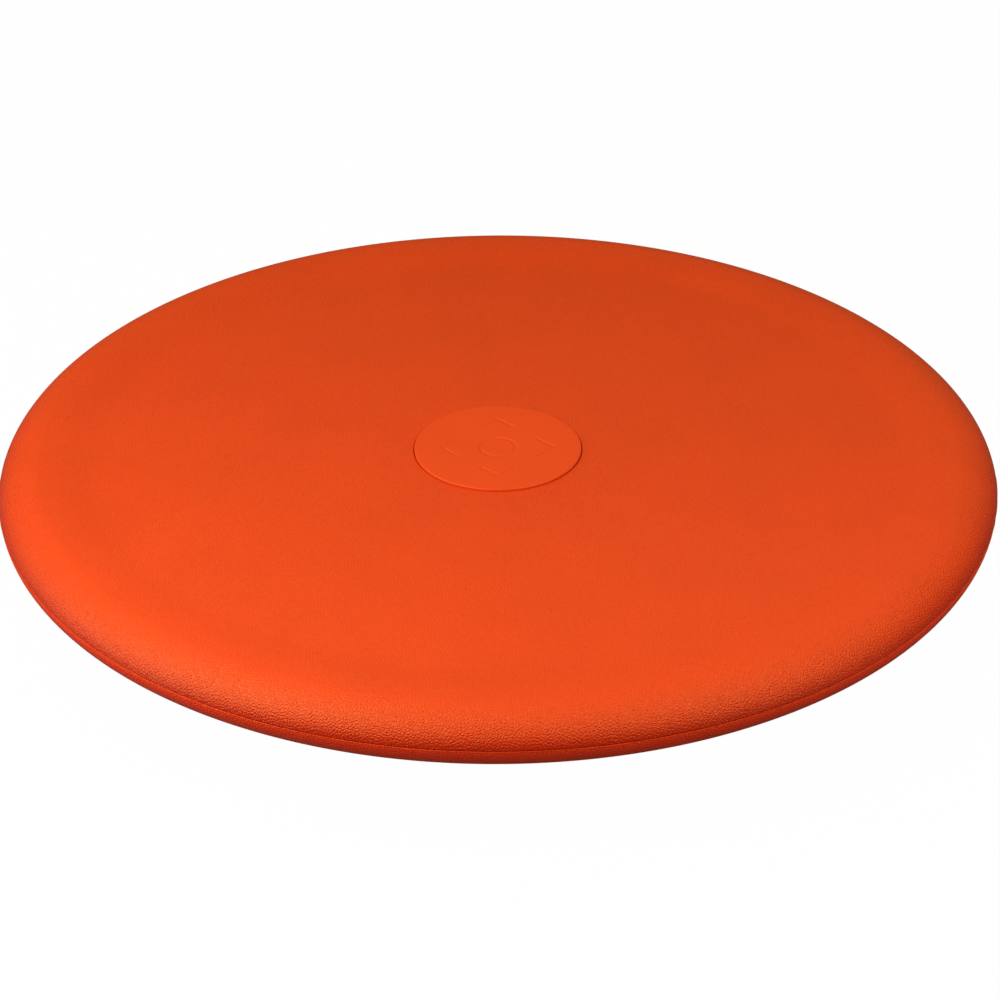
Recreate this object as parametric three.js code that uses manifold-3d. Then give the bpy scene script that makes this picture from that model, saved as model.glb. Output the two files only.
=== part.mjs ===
// Balance disc: a round floor seat that rocks on a shallow dome.
// Units are millimetres, +Z is up. The origin is on the disc's axis, at the underside of the
// rubber pad it rests on. The badge reads the right way up for someone standing at -Y.

import * as THREE from 'three';
import { mergeVertices } from 'three/addons/utils/BufferGeometryUtils.js';
import Module from 'manifold-3d';

const wasm = await Module();
wasm.setup();

// ---- Driving dimensions ---------------------------------------------------------------------

const DISC_RADIUS = 238; // out to the tip of the moulding flash at the seam
const SEAM_HEIGHT = 49.6; // where the two shells meet
const TURN_STEPS = 72; // facets round the big turned parts
const GAP = 0.3; // clearance between neighbouring pieces

// Seat shell: flat middle, shallow dish, bead and rolled edge, measured up from the seam.
const CREST_RISE = 13.9;
const DISH_DEPTH = 1.9;
const DISH_INNER_RADIUS = 188;
const DISH_OUTER_RADIUS = 214;
const ROLL_WIDTH = 20;
const ROLL_EXPONENT = 1.7; // 2 would be an ellipse; less makes the lip crisper
const SEAT_WALL = 3.0;
const FLASH_REACH = 0.4; // how far the flash stands out of the rim
const FLASH_HEIGHT = 0.7;
const SPIGOT_DEPTH = 3.5; // lip that drops inside the base shell and centres the two
const SPIGOT_WALL = 2.2;

// Base shell: lower roll, then a spherical dome down to a small flat.
const LOWER_ROLL_WIDTH = 13.6;
const LOWER_ROLL_DROP = 11.9;
const DOME_EDGE_SLOPE = THREE.MathUtils.degToRad(20);
const DOME_FLAT_RADIUS = 66;
const BASE_WALL = 4.0;
const RIM_WALL = 4.4; // side wall of both shells, measured in from the rim
const RADIAL_RIBS = 12;
const RIB_WALL = 2.6;
const RIB_INNER_RADIUS = 70;
const RING_RIB_WIDTH = 17;

// Pieces fitted to the shells.
const BADGE_RADIUS = 39.9;
const BADGE_PROUD = 1.0;
const BADGE_SUNK = 1.5;
const BADGE_EDGE = 0.5; // chamfer round the badge
const PAD_RADIUS = 60;
const PAD_SUNK = 2.0;
const PAD_EDGE = 1.0;
const GRIP_RADIUS = 128;
const GRIP_WIDTH = 10;
const GRIP_SUNK = 2.2;
const GRIP_PROUD = 0.6;
const BOARD_THICKNESS = 6.0;
const BOARD_RADIUS = 224;
const LEDGE_WIDTH = 11;
const FOAM_RADIUS = 227;
const VENT_RADIUS = 172; // where the vent sits on the dome
const VENT_AZIMUTH = THREE.MathUtils.degToRad(75);
const VENT_STEPS = 24;
const VENT_HEAD_RADIUS = 7;
const VENT_HEAD_DEPTH = 1.8;
const VENT_SHANK_RADIUS = 4;
const VENT_SHANK_LENGTH = 6.5;

// ---- Derived heights and curves -------------------------------------------------------------

const bodyRadius = DISC_RADIUS - FLASH_REACH;
const crestHeight = SEAM_HEIGHT + CREST_RISE;
const seatHeight = crestHeight - DISH_DEPTH;
const seatUnderside = seatHeight - SEAT_WALL;
const baseTop = SEAM_HEIGHT - GAP;
const boardTop = SEAM_HEIGHT - 0.5;
const ledgeHeight = boardTop - BOARD_THICKNESS - GAP;

// The lower roll is an ellipse, left where its slope has dropped to the dome's edge slope.
const rollEnd = Math.atan(LOWER_ROLL_DROP / (LOWER_ROLL_WIDTH * Math.tan(DOME_EDGE_SLOPE)));
const domeEdgeRadius = bodyRadius - LOWER_ROLL_WIDTH * (1 - Math.cos(rollEnd));
const domeEdgeHeight = SEAM_HEIGHT - LOWER_ROLL_DROP * Math.sin(rollEnd);
const domeRadius = domeEdgeRadius / Math.sin(DOME_EDGE_SLOPE);
const domeCentre = domeEdgeHeight + domeRadius * Math.cos(DOME_EDGE_SLOPE);

// Height of the sphere that lies `inside` millimetres inside the dome's outer face.
function domeHeight(radius, inside = 0) {
  return domeCentre - Math.sqrt((domeRadius - inside) ** 2 - radius ** 2);
}

const domeFlatHeight = domeHeight(DOME_FLAT_RADIUS);

// ---- Helpers --------------------------------------------------------------------------------

function steps(count, first, last) {
  return Array.from({ length: count + 1 }, (_, i) => first + ((last - first) * i) / count);
}

// A closed solid from any closed three.js geometry.
function solidFrom(geometry) {
  const bare = new THREE.BufferGeometry();
  bare.setAttribute('position', geometry.getAttribute('position'));
  if (geometry.index) bare.setIndex(geometry.index);
  const merged = mergeVertices(bare, 1e-4);
  const corners = merged.index.array;
  const triangles = [];
  for (let i = 0; i < corners.length; i += 3) {
    const [a, b, c] = corners.slice(i, i + 3);
    if (a !== b && b !== c && c !== a) triangles.push(a, b, c);
  }
  return new wasm.Manifold(new wasm.Mesh({
    numProp: 3,
    vertProperties: Float32Array.from(merged.getAttribute('position').array),
    triVerts: Uint32Array.from(triangles),
  }));
}

// Turns a profile of [radius, height] points about Z. It runs anticlockwise: out along the
// underside, up the outside, and back over the top.
function turned(profile, turnSteps = TURN_STEPS) {
  const points = profile.map(([radius, height]) => new THREE.Vector2(radius, height));
  const geometry = new THREE.LatheGeometry(points, turnSteps);
  geometry.rotateX(Math.PI / 2);
  return solidFrom(geometry);
}

function closed(profile) {
  return [...profile, profile[0]];
}

function piece(name, solid, color, roughness) {
  const mesh = solid.getMesh();
  const geometry = new THREE.BufferGeometry();
  geometry.setAttribute('position', new THREE.BufferAttribute(mesh.vertProperties, 3));
  geometry.setIndex(new THREE.BufferAttribute(mesh.triVerts, 1));
  geometry.computeVertexNormals();
  const material = new THREE.MeshStandardMaterial({ color, roughness, metalness: 0 });
  const result = new THREE.Mesh(geometry, material);
  result.name = name;
  return result;
}

// ---- Seat shell -----------------------------------------------------------------------------

// From the flat middle up the dish's side to the bead, as half a cosine wave.
function dishSide() {
  return steps(6, 0, 1).map((t) => [
    DISH_INNER_RADIUS + (DISH_OUTER_RADIUS - DISH_INNER_RADIUS) * t,
    seatHeight + (DISH_DEPTH * (1 - Math.cos(Math.PI * t))) / 2,
  ]);
}

// The rolled edge as a quarter of a superellipse, from the crest out and down to the flash.
function upperRoll() {
  const power = 2 / ROLL_EXPONENT;
  const lowest = Math.asin((FLASH_HEIGHT / CREST_RISE) ** (1 / power));
  return steps(9, Math.PI / 2, lowest).map((angle) => [
    bodyRadius - ROLL_WIDTH * (1 - Math.cos(angle) ** power),
    SEAM_HEIGHT + CREST_RISE * Math.sin(angle) ** power,
  ]);
}

function seatShell() {
  const wellRadius = BADGE_RADIUS + GAP;
  const spigotOuter = bodyRadius - RIM_WALL - GAP;
  const spigotInner = spigotOuter - SPIGOT_WALL;
  const innerRise = seatUnderside - SEAM_HEIGHT;
  const innerWidth = 16;
  const innerRoll = steps(5, Math.PI / 2, 0).map((angle) => [
    spigotInner - innerWidth * (1 - Math.cos(angle)),
    SEAM_HEIGHT + innerRise * Math.sin(angle),
  ]);
  const outside = [
    [spigotInner, SEAM_HEIGHT - SPIGOT_DEPTH],
    [spigotOuter, SEAM_HEIGHT - SPIGOT_DEPTH],
    [spigotOuter, SEAM_HEIGHT],
    [DISC_RADIUS - 0.1, SEAM_HEIGHT],
    [DISC_RADIUS, SEAM_HEIGHT + FLASH_HEIGHT / 3],
    [DISC_RADIUS - 0.1, SEAM_HEIGHT + (2 * FLASH_HEIGHT) / 3],
    ...upperRoll().reverse(),
    ...dishSide().reverse(),
    [wellRadius, seatHeight],
    [wellRadius, seatHeight - BADGE_SUNK],
    [0, seatHeight - BADGE_SUNK],
  ];
  return turned([[0, seatUnderside], ...innerRoll, ...outside]);
}

// ---- Base shell -----------------------------------------------------------------------------

function lowerRoll() {
  return steps(6, rollEnd, 0).map((angle) => [
    bodyRadius - LOWER_ROLL_WIDTH * (1 - Math.cos(angle)),
    SEAM_HEIGHT - LOWER_ROLL_DROP * Math.sin(angle),
  ]).filter(([, height]) => height < baseTop);
}

// The two sides and the bottom of the groove that holds the grip ring, widened by `clear`.
function gripSection(clear, outward) {
  const inner = GRIP_RADIUS - GRIP_WIDTH / 2 - clear;
  const outer = GRIP_RADIUS + GRIP_WIDTH / 2 + clear;
  const deep = GRIP_SUNK + clear;
  return [
    [inner, domeHeight(inner, -outward)],
    [outer, domeHeight(outer, -outward)],
    [outer, domeHeight(outer, deep)],
    [inner, domeHeight(inner, deep)],
  ];
}

function ribs() {
  const width = 2 * (BOARD_RADIUS - LEDGE_WIDTH / 2);
  let wheel = null;
  for (let i = 0; i < RADIAL_RIBS / 2; i += 1) {
    const slab = new THREE.BoxGeometry(width, RIB_WALL, 2 * ledgeHeight);
    slab.rotateZ((2 * Math.PI * i) / RADIAL_RIBS);
    wheel = wheel ? wheel.add(solidFrom(slab)) : solidFrom(slab);
  }
  const ring = turned(closed([
    [GRIP_RADIUS - RING_RIB_WIDTH / 2, 0],
    [GRIP_RADIUS + RING_RIB_WIDTH / 2, 0],
    [GRIP_RADIUS + RING_RIB_WIDTH / 2, domeHeight(GRIP_RADIUS) + 9],
    [GRIP_RADIUS - RING_RIB_WIDTH / 2, domeHeight(GRIP_RADIUS) + 9],
  ]));
  const hub = turned(closed([
    [RIB_INNER_RADIUS - RIB_WALL, 0],
    [RIB_INNER_RADIUS, 0],
    [RIB_INNER_RADIUS, ledgeHeight],
    [RIB_INNER_RADIUS - RIB_WALL, ledgeHeight],
  ]));
  const middle = turned([
    [0, 0],
    [RIB_INNER_RADIUS - RIB_WALL, 0],
    [RIB_INNER_RADIUS - RIB_WALL, ledgeHeight],
    [0, ledgeHeight],
  ]);
  // Only the part inside the shell stays, sunk half a wall into it so that the two fuse.
  const buried = BASE_WALL / 2;
  const room = turned([
    [0, domeFlatHeight + PAD_SUNK + buried],
    ...steps(7, DOME_FLAT_RADIUS, domeEdgeRadius - LEDGE_WIDTH)
      .map((radius) => [radius, domeHeight(radius, buried)]),
    [domeEdgeRadius - LEDGE_WIDTH, ledgeHeight],
    [0, ledgeHeight],
  ]);
  return wheel.subtract(middle).add(ring).add(hub).intersect(room);
}

// Axis of the vent: the dome's inward normal at the vent.
function ventPlace() {
  const tilt = Math.asin(VENT_RADIUS / domeRadius);
  const place = new THREE.Matrix4().makeRotationZ(VENT_AZIMUTH);
  place.multiply(new THREE.Matrix4().makeTranslation(VENT_RADIUS, 0, domeHeight(VENT_RADIUS)));
  place.multiply(new THREE.Matrix4().makeRotationY(-tilt));
  return place;
}

// A stepped round plug standing on the dome's outer face: head first, then a long shank.
function ventSection(clear, headBottom, length) {
  const geometry = new THREE.LatheGeometry([
    [0, headBottom],
    [VENT_HEAD_RADIUS + clear, headBottom],
    [VENT_HEAD_RADIUS + clear, VENT_HEAD_DEPTH + clear],
    [VENT_SHANK_RADIUS + clear, VENT_HEAD_DEPTH + clear],
    [VENT_SHANK_RADIUS + clear, length],
    [0, length],
  ].map(([radius, height]) => new THREE.Vector2(radius, height)), VENT_STEPS);
  geometry.rotateX(Math.PI / 2);
  geometry.applyMatrix4(ventPlace());
  return solidFrom(geometry);
}

function baseShell() {
  const wellRadius = PAD_RADIUS + GAP;
  const innerRadius = bodyRadius - RIM_WALL;
  const outside = [
    [0, domeFlatHeight + PAD_SUNK],
    [wellRadius, domeFlatHeight + PAD_SUNK],
    [wellRadius, domeFlatHeight],
    ...steps(7, DOME_FLAT_RADIUS, domeEdgeRadius).slice(0, -1)
      .map((radius) => [radius, domeHeight(radius)]),
    ...lowerRoll(),
    [bodyRadius, baseTop],
  ];
  const inside = [
    [innerRadius, baseTop],
    [innerRadius, ledgeHeight],
    [BOARD_RADIUS - LEDGE_WIDTH, ledgeHeight],
    ...steps(7, BOARD_RADIUS - LEDGE_WIDTH, DOME_FLAT_RADIUS)
      .map((radius) => [radius, domeHeight(radius, BASE_WALL)]),
    [0, domeFlatHeight + PAD_SUNK + BASE_WALL],
  ];
  const overhang = 3;
  const groove = turned(closed(gripSection(GAP, overhang)));
  const vent = ventSection(GAP, -overhang, 2 * VENT_SHANK_LENGTH);
  return turned([...outside, ...inside]).add(ribs()).subtract(groove).subtract(vent);
}

// ---- Fitted pieces --------------------------------------------------------------------------

function badgePlate() {
  const bottom = seatHeight - BADGE_SUNK + GAP;
  const top = seatHeight + BADGE_PROUD;
  return turned([
    [0, bottom],
    [BADGE_RADIUS, bottom],
    [BADGE_RADIUS, top - BADGE_EDGE],
    [BADGE_RADIUS - BADGE_EDGE, top],
    [0, top],
  ]);
}

function basePad() {
  return turned([
    [0, 0],
    [PAD_RADIUS - PAD_EDGE, 0],
    [PAD_RADIUS, PAD_EDGE],
    [PAD_RADIUS, domeFlatHeight + PAD_SUNK - GAP],
    [0, domeFlatHeight + PAD_SUNK - GAP],
  ]);
}

function supportBoard() {
  return turned([
    [0, boardTop - BOARD_THICKNESS],
    [BOARD_RADIUS, boardTop - BOARD_THICKNESS],
    [BOARD_RADIUS, boardTop],
    [0, boardTop],
  ]);
}

// The cushion fills the seat shell above the board, a gap clear of its rounded inner corner.
function foamPad() {
  const bottom = boardTop + GAP;
  const top = seatUnderside - GAP;
  const cornerWidth = 15;
  const corner = steps(4, 0, Math.PI / 2).map((angle) => [
    FOAM_RADIUS - cornerWidth * (1 - Math.cos(angle)),
    bottom + (top - bottom) * Math.sin(angle),
  ]);
  return turned([[0, bottom], ...corner, [0, top]]);
}

function ventPlug() {
  return ventSection(0, 0.2, VENT_SHANK_LENGTH);
}

// ---- Assembly -------------------------------------------------------------------------------

const ORANGE = '#f25a26';
const BLACK_RUBBER = '#222224';

const balanceDisc = new THREE.Group();
balanceDisc.add(
  piece('seat_shell', seatShell(), ORANGE, 0.5),
  piece('badge_plate', badgePlate(), ORANGE, 0.45),
  piece('foam_pad', foamPad(), '#e8dfc4', 0.95),
  piece('support_board', supportBoard(), '#c9a36b', 0.7),
  piece('base_shell', baseShell(), ORANGE, 0.5),
  piece('base_pad', basePad(), BLACK_RUBBER, 0.85),
  piece('grip_ring', turned(closed(gripSection(0, GRIP_PROUD))), BLACK_RUBBER, 0.85),
  piece('vent_plug', ventPlug(), BLACK_RUBBER, 0.8),
);

export default balanceDisc;
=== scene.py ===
"""Looks for the balance disc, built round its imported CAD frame.

Everything is in metres and in the frame's axes: +Z up, the disc's axis at X = Y = 0, and the
badge the right way up for someone at -Y. The main radii and heights come from the CAD nodes'
boxes, and the rest are named below.
"""

import math

import bpy
import numpy as np
from mathutils import Matrix, Vector


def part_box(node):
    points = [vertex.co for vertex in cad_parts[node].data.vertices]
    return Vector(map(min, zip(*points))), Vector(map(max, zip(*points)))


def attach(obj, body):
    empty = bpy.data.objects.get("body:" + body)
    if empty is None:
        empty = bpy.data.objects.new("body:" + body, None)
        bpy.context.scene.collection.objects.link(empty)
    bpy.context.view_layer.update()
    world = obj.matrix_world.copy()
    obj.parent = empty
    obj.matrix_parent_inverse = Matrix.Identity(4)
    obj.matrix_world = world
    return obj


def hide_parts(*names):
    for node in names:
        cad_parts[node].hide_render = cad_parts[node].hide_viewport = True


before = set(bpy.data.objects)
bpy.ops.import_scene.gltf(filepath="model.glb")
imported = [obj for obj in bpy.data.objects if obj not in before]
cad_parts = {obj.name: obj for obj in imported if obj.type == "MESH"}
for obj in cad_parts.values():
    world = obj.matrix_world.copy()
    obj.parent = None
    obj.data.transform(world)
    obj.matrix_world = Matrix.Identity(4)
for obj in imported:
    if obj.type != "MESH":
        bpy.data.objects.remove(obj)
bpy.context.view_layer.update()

MM = 0.001
COLUMNS = 960  # facets round the two shells
JOINT_GAP = 0.3 * MM  # the CAD's clearance between neighbouring pieces

# ---- Sizes read from the frame ---------------------------------------------------------------

_, seat_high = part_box("seat_shell")
base_low, base_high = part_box("base_shell")
badge_low, badge_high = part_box("badge_plate")
pad_low, pad_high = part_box("base_pad")
_, ring_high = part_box("grip_ring")
board_low, board_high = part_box("support_board")
foam_low, foam_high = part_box("foam_pad")

DISC_RADIUS = seat_high.x  # to the tip of the moulding flash
BODY_RADIUS = base_high.x
CREST = seat_high.z
SEAM = base_high.z + JOINT_GAP
BADGE_RADIUS = badge_high.x
BADGE_PROUD = 1.0 * MM
SEAT = badge_high.z - BADGE_PROUD
SEAT_UNDERSIDE = foam_high.z + JOINT_GAP
WELL_FLOOR = badge_low.z - JOINT_GAP
LEDGE = board_low.z - JOINT_GAP
DOME_FLAT = base_low.z

# ---- Sizes of the turned outlines ------------------------------------------------------------

DISH_INNER = 188 * MM
DISH_OUTER = 214 * MM
ROLL_WIDTH = 20 * MM
ROLL_EXPONENT = 1.7
FLASH_HEIGHT = 0.35 * MM
FLASH_REACH = 0.22 * MM
FLASH_NOTCH = 0.10 * MM  # how unevenly the flash stands out
FLASH_WAVER = 0.08 * MM  # how unevenly it runs up and down
CREASE_DEPTH = 0.65 * MM
SEAT_CORNER_WIDTH = 16 * MM  # inside the rolled edge
WELL_LIP_RADIUS = 0.35 * MM
SPIGOT_DEPTH = 3.5 * MM
SPIGOT_WALL = 2.2 * MM
RIM_WALL = 4.4 * MM
RIM_GAP = 0.06 * MM  # between the two skins under the flash
RIM_INSET = 0.12 * MM
LOWER_ROLL_WIDTH = 13.6 * MM
LOWER_ROLL_DROP = 11.9 * MM
LOWER_ROLL_START = 0.35 * MM  # below the seam
DOME_EDGE_SLOPE = math.radians(20)
DOME_FLAT_RADIUS = 66 * MM
BASE_WALL = 4 * MM
LEDGE_WIDTH = 11 * MM
PAD_WELL_EDGE = 0.5 * MM
GROOVE_EDGE = 0.4 * MM
GRIP_RADIUS = 128 * MM  # to the middle of the grip ring's width
GRIP_SUNK = 2.2 * MM
GRIP_PROUD = 0.6 * MM
GRIP_EDGE = 0.8 * MM
RIB_COUNT = 12
RIB_WALL = 2.6 * MM
RIB_DROP = 0.02 * MM  # from the ledge's height down to the ribs' tops
HUB_RADIUS = 70 * MM
RING_RIB_WIDTH = 17 * MM
RING_RIB_RISE = 9 * MM
VENT_RADIUS = 172 * MM
VENT_AZIMUTH = math.radians(75)
VENT_HEAD_RADIUS = 7 * MM
VENT_HEAD_DEPTH = 1.8 * MM
VENT_SHANK_RADIUS = 4 * MM
VENT_SHANK_LENGTH = 6.5 * MM

grip_outer = ring_high.x
grip_inner = 2 * GRIP_RADIUS - grip_outer

roll_end = math.atan(LOWER_ROLL_DROP / (LOWER_ROLL_WIDTH * math.tan(DOME_EDGE_SLOPE)))
dome_edge_radius = BODY_RADIUS - LOWER_ROLL_WIDTH * (1 - math.cos(roll_end))
dome_edge_height = SEAM - LOWER_ROLL_DROP * math.sin(roll_end)
dome_radius = dome_edge_radius / math.sin(DOME_EDGE_SLOPE)
dome_centre = dome_edge_height + dome_radius * math.cos(DOME_EDGE_SLOPE)


def dome_height(radius, inside=0.0):
    """Height of the sphere that lies `inside` metres inside the dome's outer face."""
    return dome_centre - math.sqrt((dome_radius - inside) ** 2 - radius ** 2)


# ---- Mesh helpers ----------------------------------------------------------------------------


def spread(count, first, last):
    """count + 1 numbers from first to last, both included."""
    return [first + (last - first) * i / count for i in range(count + 1)]


def wave(seed, lowest, highest, amplitude):
    """A smooth uneven function of the angle round the rim, closed on itself."""
    rng = np.random.default_rng(seed)
    turns = np.arange(lowest, highest)
    size = rng.normal(size=len(turns)) / np.sqrt(turns)
    phase = rng.uniform(0, math.tau, len(turns))
    scale = amplitude / np.sqrt((size ** 2).sum() / 2)
    return lambda angle: scale * (size * np.cos(np.outer(angle, turns) + phase)).sum(1)


def mesh_object(name, vertices, faces, sharp=40):
    """A smooth-shaded mesh object whose edges steeper than `sharp` degrees stay crisp."""
    mesh = bpy.data.meshes.new(name)
    mesh.from_pydata(vertices, [], faces)
    mesh.polygons.foreach_set("use_smooth", [True] * len(mesh.polygons))
    mesh.set_sharp_from_angle(angle=math.radians(sharp))
    piece = bpy.data.objects.new(name, mesh)
    bpy.context.scene.collection.objects.link(piece)
    return piece


def combine(piece, tool, operation):
    """Joins the tool's solid to the piece's, or takes it away. The tool is used up."""
    change = piece.modifiers.new("combine", "BOOLEAN")
    change.object, change.operation, change.solver = tool, operation, "MANIFOLD"
    graph = bpy.context.evaluated_depsgraph_get()
    piece.data = bpy.data.meshes.new_from_object(piece.evaluated_get(graph))
    piece.modifiers.clear()
    bpy.data.objects.remove(tool)


def turned(name, profile, columns=COLUMNS, grain_from_end=False, uneven=None, sharp=40):
    """Turns a profile of (radius, height) points about Z and closes it.

    The profile runs anticlockwise. Its points on the axis become one vertex each. uneven maps a
    point's index to a function that gives its (radius, height) shift at an array of angles. The
    attribute grain_map lays the surface out flat round the axis, so that grain isn't stretched.
    """
    angle = np.arange(columns) * math.tau / columns
    cosine, sine = np.cos(angle), np.sin(angle)
    outline = np.array(profile)
    along = np.concatenate([[0], np.hypot(*np.diff(outline, axis=0).T).cumsum()])
    reach = along[-1] - along if grain_from_end else along
    vertices, flat, rings = [], [], []
    for i, (radius, height) in enumerate(profile):
        if radius < 1e-7:
            rings.append([sum(map(len, vertices))])
            vertices.append(np.array([[0, 0, height]]))
            flat.append(np.zeros((1, 3)))
            continue
        out, up = uneven[i](angle) if uneven and i in uneven else (0, 0)
        start = sum(map(len, vertices))
        rings.append(range(start, start + columns))
        vertices.append(np.stack(
            [(radius + out) * cosine, (radius + out) * sine, height + up + 0 * angle], 1))
        flat.append(np.stack([reach[i] * cosine, reach[i] * sine, 0 * angle], 1))
    faces = []
    ends_on_axis = len(rings[0]) == 1 and len(rings[-1]) == 1
    pairs = list(zip(rings, rings[1:])) + ([] if ends_on_axis else [(rings[-1], rings[0])])
    for low, high in pairs:
        for k in range(columns):
            k2 = (k + 1) % columns
            if len(low) == 1:
                faces.append((low[0], high[k2], high[k]))
            elif len(high) == 1:
                faces.append((low[k], low[k2], high[0]))
            else:
                faces.append((low[k], low[k2], high[k2], high[k]))
    piece = mesh_object(name, np.concatenate(vertices).tolist(), faces, sharp)
    grain = piece.data.attributes.new("grain_map", "FLOAT_VECTOR", "POINT")
    grain.data.foreach_set("vector", np.concatenate(flat).astype(np.float32).ravel())
    return piece


def rounded(corner, before, after, radius, count=4):
    """Points of a fillet at `corner`, between the points before and after it."""
    c, b, a = (Vector(p) for p in (corner, before, after))
    to_b, to_a = (b - c).normalized(), (a - c).normalized()
    half = to_b.angle(to_a) / 2
    reach = radius / math.tan(half)
    centre = c + (to_b + to_a).normalized() * (radius / math.sin(half))
    start, end = c + to_b * reach - centre, c + to_a * reach - centre
    turn = start.angle(end)
    points = []
    for t in spread(count, 0, 1):
        mix = (start * math.sin((1 - t) * turn) + end * math.sin(t * turn)) / math.sin(turn)
        points.append(tuple(centre + mix))
    return points


def filleted(outline, radii, count=4):
    """The outline with its corner i, for each i in radii, rounded to that radius."""
    points = []
    for i, corner in enumerate(outline):
        if i in radii:
            after = outline[(i + 1) % len(outline)]
            points += rounded(corner, outline[i - 1], after, radii[i], count)
        else:
            points.append(corner)
    return points


# ---- Seat shell ------------------------------------------------------------------------------


def dish_side():
    """From the crest of the bead down the dish's side to the flat seat, as half a cosine."""
    depth = CREST - SEAT
    return [
        (DISH_INNER + (DISH_OUTER - DISH_INNER) * t, SEAT + depth * (1 - math.cos(math.pi * t)) / 2)
        for t in spread(16, 1, 0)
    ]


def upper_roll():
    """The rolled edge, a quarter of a superellipse, from just above the crease up to the crest."""
    power = 2 / ROLL_EXPONENT
    rise = CREST - SEAM
    lowest = math.asin(((FLASH_HEIGHT + CREASE_DEPTH) / rise) ** (1 / power))
    return [
        (BODY_RADIUS - ROLL_WIDTH * (1 - math.cos(a) ** power), SEAM + rise * math.sin(a) ** power)
        for a in spread(26, lowest, math.pi / 2)
    ]


def build_seat_shell():
    """The upper skin: inside face, spigot, flash, crease, roll, dish, seat and badge well."""
    spigot_outer = BODY_RADIUS - RIM_WALL - JOINT_GAP
    spigot_inner = spigot_outer - SPIGOT_WALL
    inner_rise = SEAT_UNDERSIDE - SEAM
    inside = [
        (spigot_inner - SEAT_CORNER_WIDTH * (1 - math.cos(a)), SEAM + inner_rise * math.sin(a))
        for a in spread(8, math.pi / 2, 0)
    ]
    spigot = [
        (spigot_inner, SEAM - SPIGOT_DEPTH),
        (spigot_outer, SEAM - SPIGOT_DEPTH),
        (spigot_outer, SEAM),
        (BODY_RADIUS, SEAM),
    ]
    flash_mid = SEAM + FLASH_HEIGHT / 2
    flash = [
        (BODY_RADIUS + FLASH_REACH * math.cos(a), flash_mid + FLASH_HEIGHT / 2 * math.sin(a))
        for a in spread(6, -math.pi / 2, math.pi / 2)
    ]
    crease = [(BODY_RADIUS - CREASE_DEPTH, SEAM + FLASH_HEIGHT)]
    well_radius = BADGE_RADIUS + JOINT_GAP
    lip = filleted(
        [(DISH_INNER, SEAT), (well_radius, SEAT), (well_radius, WELL_FLOOR)],
        {1: WELL_LIP_RADIUS})[1:]
    flat = [(r, SEAT) for r in spread(18, DISH_INNER, well_radius + 2 * MM)[1:]]
    before_flash = [(0, SEAT_UNDERSIDE)] + inside + spigot
    reach, level = wave(3, 3, 150, FLASH_NOTCH), wave(4, 2, 60, FLASH_WAVER)
    uneven = {
        i: lambda angle: (-np.abs(reach(angle)), level(angle))
        for i in range(len(before_flash), len(before_flash) + len(flash))
    }
    profile = before_flash + flash + crease + upper_roll() + dish_side() + flat + lip
    profile.append((0, WELL_FLOOR))
    return turned("seat_skin", profile, grain_from_end=True, uneven=uneven)


# ---- Badge -----------------------------------------------------------------------------------


def distance_to_segment(x, y, a, b):
    """Distance from points (x, y) to the segment from a to b."""
    ax, ay, bx, by = *a, *b
    dx, dy = bx - ax, by - ay
    t = np.clip(((x - ax) * dx + (y - ay) * dy) / (dx * dx + dy * dy), 0, 1)
    return np.hypot(x - ax - t * dx, y - ay - t * dy)


def pictogram_distance(x, y):
    """Distance to the centre line of the tilt pictogram: a ring with four chevrons round it."""
    distance = np.abs(np.hypot(x, y) - 8.5 * MM)
    tip, arm = 27 * MM, 8 * MM
    for dx, dy in ((1, 0), (0, 1), (-1, 0), (0, -1)):
        point = (tip * dx, tip * dy)
        for side in (1, -1):
            end = (point[0] - arm * dx - side * arm * dy, point[1] - arm * dy + side * arm * dx)
            distance = np.minimum(distance, distance_to_segment(x, y, point, end))
    return distance


def build_badge():
    """A thin plate with a softly rounded edge and the pictogram pressed into its top."""
    edge, half_line, soft, depth = 0.6 * MM, 0.75 * MM, 0.3 * MM, 0.4 * MM
    top = badge_high.z
    inner = BADGE_RADIUS - edge
    rim = [(inner + edge * math.sin(a), top - edge * (1 - math.cos(a)))
           for a in spread(6, math.pi / 2, 0)]
    face = [(r, top) for r in spread(110, inner, 0)[1:]]
    profile = [(0, badge_low.z), (BADGE_RADIUS, badge_low.z)] + rim + face
    badge = turned("badge", profile, columns=600, grain_from_end=True, sharp=60)
    count = len(badge.data.vertices)
    place = np.zeros(count * 3)
    badge.data.vertices.foreach_get("co", place)
    place = place.reshape(-1, 3)
    on_top = (place[:, 2] > top - 1e-6)
    blend = (half_line + soft - pictogram_distance(place[:, 0], place[:, 1])) / (2 * soft)
    blend = np.clip(blend, 0, 1)
    place[:, 2] -= on_top * depth * blend * blend * (3 - 2 * blend)
    badge.data.vertices.foreach_set("co", place.ravel())
    badge.data.update()
    return badge


# ---- Base shell ------------------------------------------------------------------------------


def groove_section(clear, outward):
    """The grip ring's section, or its groove when widened by `clear`, as four corners."""
    inner, outer, deep = grip_inner - clear, grip_outer + clear, GRIP_SUNK + clear
    return [
        (inner, dome_height(inner, deep)),
        (inner, dome_height(inner, -outward)),
        (outer, dome_height(outer, -outward)),
        (outer, dome_height(outer, deep)),
    ]


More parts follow.
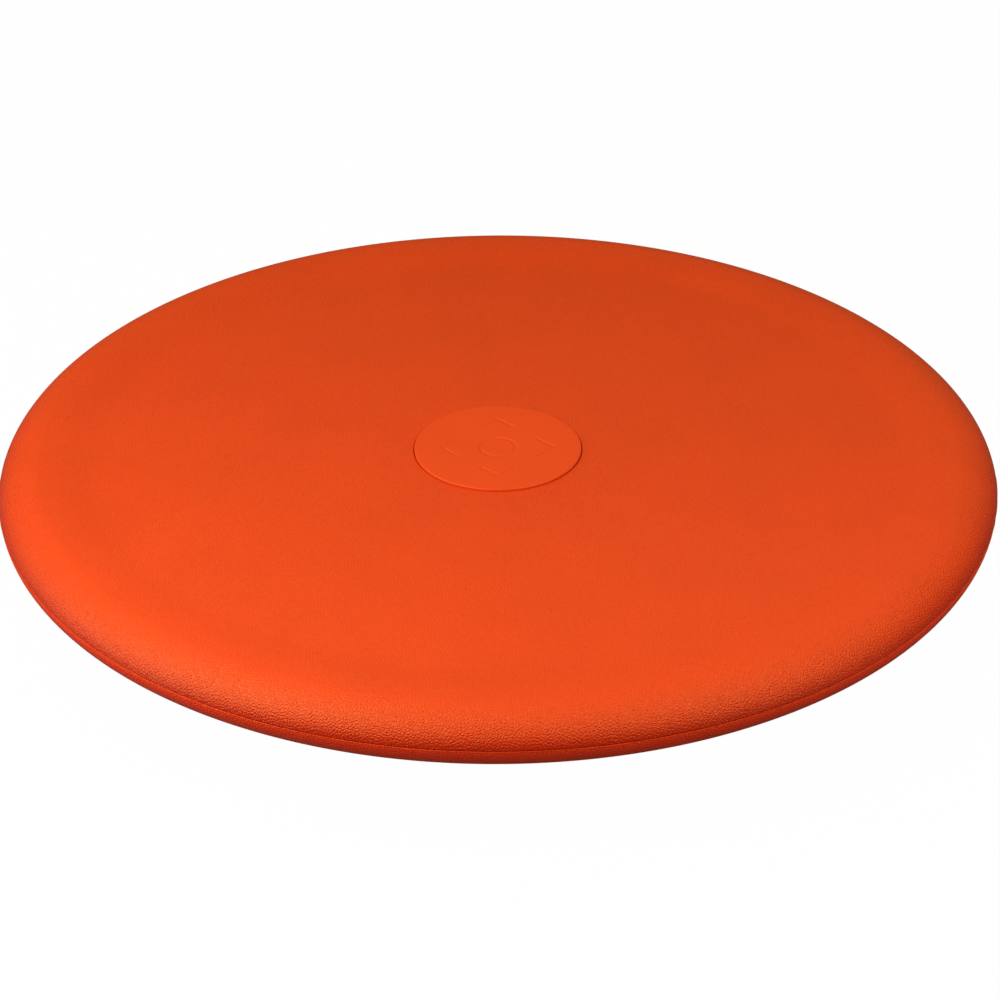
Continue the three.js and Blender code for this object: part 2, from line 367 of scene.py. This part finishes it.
def build_rib(angle):
    """One upright radial rib from the hub to the ledge, sunk into the dome's wall."""
    outer = board_high.x - LEDGE_WIDTH / 2
    inner = HUB_RADIUS - RIB_WALL / 2
    top = LEDGE - RIB_DROP
    outline = [(r, dome_height(r, BASE_WALL / 2)) for r in spread(8, inner, outer)]
    outline += [(outer, top), (inner, top)]
    count = len(outline)
    vertices = [(r, side * RIB_WALL / 2, z) for side in (-1, 1) for r, z in outline]
    faces = [tuple(range(count)), tuple(range(2 * count - 1, count - 1, -1))]
    for i in range(count):
        k = (i + 1) % count
        faces.append((i, count + i, count + k, k))
    rib = mesh_object("rib", vertices, faces)
    rib.data.transform(Matrix.Rotation(angle, 4, "Z"))
    return rib


def build_ribs():
    """The round hub wall and the ring rib behind the groove, joined by twelve radial ribs."""
    top = LEDGE - RIB_DROP
    hub_inner = HUB_RADIUS - RIB_WALL
    ribs = turned("ribs", [
        (hub_inner, dome_height(hub_inner, BASE_WALL / 2)),
        (HUB_RADIUS, dome_height(HUB_RADIUS, BASE_WALL / 2)),
        (HUB_RADIUS, top),
        (hub_inner, top),
    ], columns=144)
    inner, outer = GRIP_RADIUS - RING_RIB_WIDTH / 2, GRIP_RADIUS + RING_RIB_WIDTH / 2
    ring_top = dome_height(GRIP_RADIUS) + RING_RIB_RISE
    behind_groove = turned("ring_rib", [
        (inner, dome_height(inner, BASE_WALL * 0.9)),
        (outer, dome_height(outer, BASE_WALL * 0.9)),
        (outer, ring_top),
        (inner, ring_top),
    ], columns=144)
    combine(ribs, behind_groove, "UNION")
    for i in range(RIB_COUNT):
        combine(ribs, build_rib(math.tau * i / RIB_COUNT), "UNION")
    return ribs


def vent_section(name, clear, head_bottom, length, ease=0.0):
    """The stepped plug, or its hole when widened by `clear`, head outward on the dome's face."""
    head, shank = VENT_HEAD_RADIUS + clear, VENT_SHANK_RADIUS + clear
    outline = [
        (0, head_bottom),
        (head, head_bottom),
        (head, VENT_HEAD_DEPTH + clear),
        (shank, VENT_HEAD_DEPTH + clear),
        (shank, length),
        (0, length),
    ]
    if ease:
        outline = filleted(outline, {1: ease, 4: ease})
    plug = turned(name, outline, columns=96)
    tilt = math.asin(VENT_RADIUS / dome_radius)
    plug.data.transform(
        Matrix.Rotation(VENT_AZIMUTH, 4, "Z")
        @ Matrix.Translation((VENT_RADIUS, 0, dome_height(VENT_RADIUS)))
        @ Matrix.Rotation(-tilt, 4, "Y"))
    return plug


def build_base_shell():
    """The lower skin with its pad well, grip groove, rolled edge, ledge, ribs and vent hole."""
    well = pad_high.x + JOINT_GAP
    well_top = pad_high.z + JOINT_GAP
    inner_radius = BODY_RADIUS - RIM_WALL
    top = SEAM - RIM_GAP
    groove = groove_section(JOINT_GAP, 0)
    pad_well = filleted([(0, well_top), (well, well_top), (well, DOME_FLAT),
                         (DOME_FLAT_RADIUS, DOME_FLAT)], {2: PAD_WELL_EDGE})[:-1]
    dome_in = [(r, dome_height(r)) for r in spread(8, DOME_FLAT_RADIUS, groove[0][0] - 1 * MM)]
    dome_out = [(r, dome_height(r)) for r in spread(14, groove[3][0] + 1 * MM, dome_edge_radius)]
    # The outer corners of the groove are eased so that they catch a thin line of light.
    edge_in = rounded(groove[1], dome_in[-1], groove[0], GROOVE_EDGE)
    edge_out = rounded(groove[2], groove[3], dome_out[0], GROOVE_EDGE)
    roll = [
        (BODY_RADIUS - LOWER_ROLL_WIDTH * (1 - math.cos(a)), SEAM - LOWER_ROLL_DROP * math.sin(a))
        for a in spread(18, roll_end, math.asin(LOWER_ROLL_START / LOWER_ROLL_DROP))[1:]
    ]
    rim = [(BODY_RADIUS - RIM_INSET, top)]
    inside = [(inner_radius, top), (inner_radius, LEDGE),
              (board_high.x - LEDGE_WIDTH, LEDGE)]
    inner_dome = [(r, dome_height(r, BASE_WALL))
                  for r in spread(12, board_high.x - LEDGE_WIDTH, DOME_FLAT_RADIUS)]
    profile = (pad_well + dome_in + edge_in + [groove[0], groove[3]] + edge_out + dome_out
               + roll + rim + inside + inner_dome + [(0, well_top + BASE_WALL)])
    shell = turned("base_skin", profile)
    combine(shell, build_ribs(), "UNION")
    combine(shell, vent_section("hole", JOINT_GAP, -3 * MM, 2 * VENT_SHANK_LENGTH), "DIFFERENCE")
    shell.data.set_sharp_from_angle(angle=math.radians(40))
    return shell


# ---- Fitted pieces ---------------------------------------------------------------------------


def build_base_pad():
    """A round rubber foot with its edges eased and four ring grooves in its underside."""
    half_width, depth = 1.2 * MM, 0.8 * MM
    outline = [(0, pad_low.z)]
    for middle in (15 * MM, 27 * MM, 39 * MM, 51 * MM):
        outline += [
            (middle - half_width, pad_low.z),
            (middle - half_width / 2, pad_low.z + depth),
            (middle + half_width / 2, pad_low.z + depth),
            (middle + half_width, pad_low.z),
        ]
    corner = len(outline)
    outline += [(pad_high.x, pad_low.z), (pad_high.x, pad_high.z), (0, pad_high.z)]
    eased = filleted(outline, {corner: 0.7 * MM, corner + 1: 0.3 * MM})
    return turned("foot_pad", eased, columns=240)


def build_grip_ring():
    """A rubber ring with a rounded outer face, crossed by shallow grip notches."""
    notches, notch_depth = 120, 0.45 * MM
    outline = groove_section(0, GRIP_PROUD)
    section = filleted(list(reversed(outline)), {1: GRIP_EDGE, 2: GRIP_EDGE})

    def notched(angle):
        across = np.cos(angle * notches)
        return 0, notch_depth * np.clip(across * 2 - 1, 0, 1)

    face = {i: notched for i in range(2, len(section) - 2)}
    section.reverse()
    return turned("grip", section, uneven=face, sharp=60)


def build_support_board():
    """A flat round board with its edges eased."""
    radius, low, high = board_high.x, board_low.z, board_high.z
    outline = [(0, low), (radius, low), (radius, high), (0, high)]
    return turned("board", filleted(outline, {1: 0.5 * MM, 2: 0.5 * MM}, 2), columns=360)


def build_foam_pad():
    """A flat cushion with its upper edge rounded over."""
    corner_width = 15 * MM
    low, high = foam_low.z, foam_high.z
    corner = [
        (foam_high.x - corner_width * (1 - math.cos(a)), low + (high - low) * math.sin(a))
        for a in spread(14, 0, math.pi / 2)
    ]
    return turned("cushion", [(0, low)] + corner + [(0, high)], columns=360)


seat = build_seat_shell()
badge = build_badge()
base = build_base_shell()
foot = build_base_pad()
grip = build_grip_ring()
plug = vent_section("plug", 0, 0.2 * MM, VENT_SHANK_LENGTH, 0.35 * MM)
board = build_support_board()
cushion = build_foam_pad()
for piece, node, slot in (
    (seat, "seat_shell", "seat_plastic"),
    (badge, "badge_plate", "seat_plastic"),
    (base, "base_shell", "base_plastic"),
    (foot, "base_pad", "black_rubber"),
    (grip, "grip_ring", "black_rubber"),
    (plug, "vent_plug", "black_rubber"),
    (board, "support_board", "board_wood"),
    (cushion, "foam_pad", "cushion_foam"),
):
    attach(piece, "root")
    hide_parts(node)

# ---- Materials -------------------------------------------------------------------------------


def add_node(tree, kind, values=None, **settings):
    """Adds a node, sets its settings, and sets or links the inputs named in values."""
    node = tree.nodes.new(kind)
    for key, value in settings.items():
        setattr(node, key, value)
    for key, value in (values or {}).items():
        if isinstance(value, bpy.types.NodeSocket):
            tree.links.new(value, node.inputs[key])
        else:
            node.inputs[key].default_value = value
    return node


def maths(tree, operation, *values):
    """The result of a Math node on sockets or numbers."""
    return add_node(tree, "ShaderNodeMath", dict(enumerate(values)), operation=operation).outputs[0]


def remap(tree, value, low, high, to_low=0.0, to_high=1.0):
    """Smoothly maps low..high to to_low..to_high, and holds the ends."""
    node = add_node(
        tree, "ShaderNodeMapRange",
        {"Value": value, "From Min": low, "From Max": high, "To Min": to_low, "To Max": to_high},
        interpolation_type="SMOOTHSTEP")
    return node.outputs[0]


def blotches(tree, place, size, detail=2.0, offset=0.0):
    """Plain noise with features about `size` metres across."""
    node = add_node(
        tree, "ShaderNodeTexNoise",
        {"Vector": place, "W": offset, "Scale": 1 / size, "Detail": detail, "Roughness": 0.55},
        noise_dimensions="4D")
    return node.outputs


def leather_height(tree, place, pitch):
    """Leather grain, 0 to 1: short wrinkles whose run wanders, broken into pebbles."""
    bend = add_node(tree, "ShaderNodeVectorMath", {0: blotches(tree, place, 9 * pitch)["Color"],
                                                   1: (0.5, 0.5, 0.5)}, operation="SUBTRACT")
    warp = add_node(tree, "ShaderNodeVectorMath", {0: bend.outputs[0], 1: (pitch, pitch, 0),
                                                   2: place}, operation="MULTIPLY_ADD").outputs[0]
    run = maths(tree, "MULTIPLY", blotches(tree, place, 12 * pitch, offset=3.0)["Fac"], 4 * math.pi)
    cell = 1.8 * pitch
    wrinkles = add_node(
        tree, "ShaderNodeTexGabor",
        {"Vector": warp, "Scale": 1 / cell, "Frequency": cell / pitch, "Anisotropy": 0.6,
         "Orientation": run}, gabor_type="2D").outputs["Value"]
    pebbles = add_node(
        tree, "ShaderNodeTexVoronoi",
        {"Vector": warp, "Scale": 1 / (1.2 * pitch), "Randomness": 1.0},
        voronoi_dimensions="2D", feature="DISTANCE_TO_EDGE").outputs["Distance"]
    creased = remap(tree, pebbles, 0.0, 0.3)
    return maths(tree, "MULTIPLY_ADD", wrinkles, 0.65, maths(tree, "MULTIPLY", creased, 0.35))


def height_bump(tree, height, depth, under=None):
    """Turns a 0 to 1 height into a surface normal, `depth` metres from lowest to highest."""
    values = {"Height": height, "Distance": depth, "Strength": 1.0}
    if under is not None:
        values["Normal"] = under
    return add_node(tree, "ShaderNodeBump", values).outputs["Normal"]


def mix_colour(tree, factor, first, second):
    """Blends two colours, each a socket or three numbers, by a 0 to 1 factor."""
    node = add_node(tree, "ShaderNodeMix", data_type="RGBA")
    for key, value in (("Factor_Float", factor), ("A_Color", first), ("B_Color", second)):
        socket = next(one for one in node.inputs if one.identifier == key)
        if isinstance(value, bpy.types.NodeSocket):
            tree.links.new(value, socket)
        else:
            socket.default_value = (*value, 1.0)
    return next(one for one in node.outputs if one.identifier == "Result_Color")


def new_material(name):
    """A new material with its node tree and its Principled shader."""
    material = bpy.data.materials.new(name)
    material.use_nodes = True
    tree = material.node_tree
    return material, tree, tree.nodes["Principled BSDF"]


def moulded_plastic(name, colour, painted_side_shade, pitch, depth, roughness, steep=0.32, level=0.96):
    """Semi-matte plastic with a moulded leather grain, with painted shade in its hollows.

    Light from above grazes the steep sides, where the grain shades itself, and that shade is
    painted: the colour blends to a deeper, redder copy of itself, the painted side shade. It
    blends in as the grain tips over, from a normal whose upward part is `level` to one where
    it is `steep`.
    """
    material, tree, shader = new_material(name)
    place = add_node(tree, "ShaderNodeAttribute", attribute_name="grain_map").outputs["Vector"]
    grain = leather_height(tree, place, pitch)
    slow = blotches(tree, place, 45 * MM)["Fac"]
    normal = height_bump(tree, slow, 0.25 * MM)
    normal = height_bump(tree, grain, depth, normal)
    upward = add_node(tree, "ShaderNodeSeparateXYZ", {0: normal}).outputs["Z"]
    # Painted shade: the colour blends to the darker, redder side colour as the grained normal tips
    # over.
    plain = mix_colour(tree, remap(tree, upward, steep, level), painted_side_shade, colour)
    # Painted shade down in the grain's hollows (0.94 there, 1.0 on top), with a slow uneven tone of
    # 2 per cent either way.
    shade = maths(tree, "ADD", remap(tree, grain, 0.1, 0.7, 0.94, 1.0),
                  remap(tree, slow, 0.3, 0.7, -0.02, 0.02))
    tint = add_node(tree, "ShaderNodeVectorMath", {0: plain, "Scale": shade}, operation="SCALE")
    tree.links.new(tint.outputs[0], shader.inputs["Base Color"])
    tree.links.new(remap(tree, slow, 0.25, 0.75, roughness - 0.03, roughness + 0.03),
                   shader.inputs["Roughness"])
    shader.inputs["Specular IOR Level"].default_value = 0.5
    shader.inputs["Specular Tint"].default_value = SHEEN_TINT
    tree.links.new(normal, shader.inputs["Normal"])
    return material


def black_rubber():
    """Dull rubber with a fine pitted surface and a slightly dusty, uneven sheen."""
    material, tree, shader = new_material("pitted_rubber")
    place = add_node(tree, "ShaderNodeTexCoord").outputs["Object"]
    pits = blotches(tree, place, 0.7 * MM, detail=4)["Fac"]
    dust = blotches(tree, place, 18 * MM, detail=3, offset=2.0)["Fac"]
    shade = remap(tree, dust, 0.3, 0.75, 0.9, 1.25)
    tint = add_node(tree, "ShaderNodeVectorMath", {0: (0.016, 0.016, 0.017), "Scale": shade},
                    operation="SCALE")
    tree.links.new(tint.outputs[0], shader.inputs["Base Color"])
    tree.links.new(remap(tree, dust, 0.3, 0.7, 0.62, 0.78), shader.inputs["Roughness"])
    tree.links.new(height_bump(tree, pits, 0.12 * MM), shader.inputs["Normal"])
    return material


def plywood():
    """Birch plywood: long figure across its faces and alternate plies on its edge."""
    plies = 5
    material, tree, shader = new_material("plywood")
    place = add_node(tree, "ShaderNodeTexCoord").outputs["Object"]
    stretched = add_node(tree, "ShaderNodeVectorMath", {0: place, 1: (0.12, 1.0, 1.0)},
                         operation="MULTIPLY").outputs[0]
    figure = blotches(tree, stretched, 6 * MM, detail=5)["Fac"]
    pores = blotches(tree, stretched, 0.6 * MM, detail=2, offset=1.0)["Fac"]
    height = add_node(tree, "ShaderNodeSeparateXYZ", {0: place}).outputs["Z"]
    ply = maths(tree, "MULTIPLY", maths(tree, "SUBTRACT", height, board_low.z),
                plies / (board_high.z - board_low.z))
    across = remap(tree, maths(tree, "PINGPONG", ply, 1.0), 0.35, 0.65)
    facing = add_node(tree, "ShaderNodeNewGeometry").outputs["True Normal"]
    upright = maths(tree, "ABSOLUTE", add_node(
        tree, "ShaderNodeSeparateXYZ", {0: facing}).outputs["Z"])
    on_edge = remap(tree, upright, 0.3, 0.7, 1.0, 0.0)
    dark = maths(tree, "MULTIPLY", across, on_edge)
    wood = mix_colour(tree, remap(tree, figure, 0.35, 0.65), (0.52, 0.34, 0.18), (0.68, 0.50, 0.30))
    wood = mix_colour(tree, maths(tree, "MULTIPLY", dark, 0.7), wood, (0.30, 0.17, 0.08))
    tree.links.new(wood, shader.inputs["Base Color"])
    shader.inputs["Roughness"].default_value = 0.6
    tree.links.new(height_bump(tree, pores, 0.05 * MM), shader.inputs["Normal"])
    return material


def cushion_foam():
    """Open-cell foam: pale grey, dull, with a fine cellular surface."""
    material, tree, shader = new_material("open_cell_foam")
    place = add_node(tree, "ShaderNodeTexCoord").outputs["Object"]
    cells = add_node(tree, "ShaderNodeTexVoronoi", {"Vector": place, "Scale": 1 / (0.9 * MM)},
                     feature="DISTANCE_TO_EDGE").outputs["Distance"]
    walls = remap(tree, cells, 0.0, 0.3)
    # Painted shade: the cells' hollows are darker than their walls.
    foam = mix_colour(tree, walls, (0.50, 0.49, 0.46), (0.26, 0.26, 0.25))
    tree.links.new(foam, shader.inputs["Base Color"])
    shader.inputs["Roughness"].default_value = 0.9
    tree.links.new(height_bump(tree, maths(tree, "SUBTRACT", 1.0, walls), 0.3 * MM),
                   shader.inputs["Normal"])
    return material


ORANGE = (0.86, 0.066, 0.0105)
# Painted shade: the seat's orange darkened and reddened for the steep sides, which light from above
# only grazes.
PAINTED_SHADE_ORANGE = (0.49, 0.008, 0.001)
# The under shell's own orange, with painted light in it: its red is raised above the seat's to
# stand for light the floor throws up onto it.
UNDER_ORANGE = (0.92, 0.034, 0.004)
# Painted shade: the under shell's orange darkened for its faces that turn down, away from the
# lamps.
PAINTED_SHADE_UNDER_ORANGE = (0.60, 0.012, 0.001)
BADGE_ORANGE = (0.90, 0.075, 0.013)
SHEEN_TINT = (1.0, 0.9, 0.4, 1.0)
GRAIN_PITCH = 1.3 * MM

rubber = black_rubber()
for piece, finish in (
    (seat, moulded_plastic("seat_leather_grain", ORANGE, PAINTED_SHADE_ORANGE,
                           GRAIN_PITCH, 0.34 * MM, 0.38)),
    # On the under shell the painted shade deepens as its faces turn down, and is full where the
    # upward part reaches -0.7.
    (base, moulded_plastic("base_leather_grain", UNDER_ORANGE, PAINTED_SHADE_UNDER_ORANGE,
                           GRAIN_PITCH, 0.4 * MM, 0.45, steep=-0.7, level=0.3)),
    (badge, moulded_plastic("badge_satin", BADGE_ORANGE, BADGE_ORANGE,
                            GRAIN_PITCH, 0.03 * MM, 0.38)),
    (foot, rubber),
    (grip, rubber),
    (plug, rubber),
    (board, plywood()),
    (cushion, cushion_foam()),
):
    piece.data.materials.clear()
    piece.data.materials.append(finish)

# ---- Stage -----------------------------------------------------------------------------------


def build_floor():
    """A flat square floor at the disc's foot."""
    mesh = bpy.data.meshes.new("floor")
    side = 8
    mesh.from_pydata([(-side, -side, 0), (side, -side, 0), (side, side, 0), (-side, side, 0)],
                     [], [(0, 1, 2, 3)])
    floor = bpy.data.objects.new("floor", mesh)
    bpy.context.scene.collection.objects.link(floor)
    return floor


def floor_material():
    """A mid-grey diffuse floor that the camera sees as a bright, almost shadowless sweep."""
    material = bpy.data.materials.new("floor")
    material.use_nodes = True
    tree = material.node_tree
    tree.nodes.clear()
    seen = add_node(tree, "ShaderNodeLightPath").outputs["Is Camera Ray"]
    grey = add_node(tree, "ShaderNodeBsdfDiffuse", {"Color": (0.3, 0.3, 0.3, 1)}).outputs[0]
    glow = add_node(
        tree, "ShaderNodeEmission", {"Color": (1, 1, 1, 1), "Strength": 1.02}).outputs[0]
    sweep = add_node(tree, "ShaderNodeMixShader", {0: 0.97, 1: grey, 2: glow}).outputs[0]
    mix = add_node(tree, "ShaderNodeMixShader", {0: seen, 1: grey, 2: sweep}).outputs[0]
    add_node(tree, "ShaderNodeOutputMaterial", {"Surface": mix})
    return material


def set_world():
    """White to the camera, and a faint warm glow to everything else."""
    world = bpy.data.worlds.new("studio")
    world.use_nodes = True
    tree = world.node_tree
    seen = add_node(tree, "ShaderNodeLightPath").outputs["Is Camera Ray"]
    colour = mix_colour(tree, seen, (0.37, 0.235, 0.08), (1.0, 1.0, 1.0))
    tree.links.new(colour, tree.nodes["Background"].inputs["Color"])
    bpy.context.scene.world = world


build_floor().data.materials.append(floor_material())
set_world()


def add_camera():
    """Looks at the middle of the disc, near its rim's height, from 30 degrees above."""
    aim_height = 50.5 * MM
    distance = 7.5 * DISC_RADIUS
    elevation = math.radians(30.28)
    pan, tilt, roll = math.radians(-0.27), math.radians(-0.48), math.radians(-0.032)
    data = bpy.data.cameras.new("camera")
    data.sensor_width = 36
    data.lens = 134.2
    camera = bpy.data.objects.new("camera", data)
    bpy.context.scene.collection.objects.link(camera)
    back, up = distance * math.cos(elevation), distance * math.sin(elevation)
    place = Vector((0, -back, aim_height + up))
    turn = Matrix.Rotation(math.radians(90) - elevation, 4, "X")
    aim = (Matrix.Rotation(pan, 4, "Z")
           @ Matrix.Rotation(tilt, 4, "X")
           @ Matrix.Rotation(roll, 4, "Y"))
    camera.matrix_world = Matrix.Translation(place) @ turn @ aim
    bpy.context.scene.camera = camera


add_camera()


LAMP_COLOUR = (1.0, 0.94, 0.8)


def add_softbox(name, place, width, depth, power, aim=None):
    """A rectangular softbox at `place`. It faces straight down unless it has a point to aim at."""
    data = bpy.data.lights.new(name, "AREA")
    data.shape = "RECTANGLE"
    data.size, data.size_y = width, depth
    data.energy = power
    data.color = LAMP_COLOUR
    light = bpy.data.objects.new(name, data)
    light.location = place
    if aim is not None:
        light.rotation_euler = (Vector(aim) - Vector(place)).to_track_quat("-Z", "Y").to_euler()
    light.visible_camera = False
    bpy.context.scene.collection.objects.link(light)


# No two lamps overlap in one plane, because Cycles loses light where they do.
middle = (0, 0, SEAM)
add_softbox("overhead", (-0.15, 0, 0.45), 1.85, 0.95, 1.6)
add_softbox("near_left", (-0.35, -0.35, 0.43), 0.4, 0.4, 1.62)
add_softbox("near_right", (0.35, -0.35, 0.43), 0.4, 0.4, 0.82)
add_softbox("left_fill", (-1.22, 0, 0.5), 0.7, 0.7, 3.2, middle)
add_softbox("low_left_fill", (-1.25, -0.33, 0.17), 0.7, 0.4, 2.7, middle)
add_softbox("low_right_fill", (1.15, -0.6, 0.17), 0.7, 0.4, 1.3, middle)

bpy.context.scene.view_settings.view_transform = "Standard"
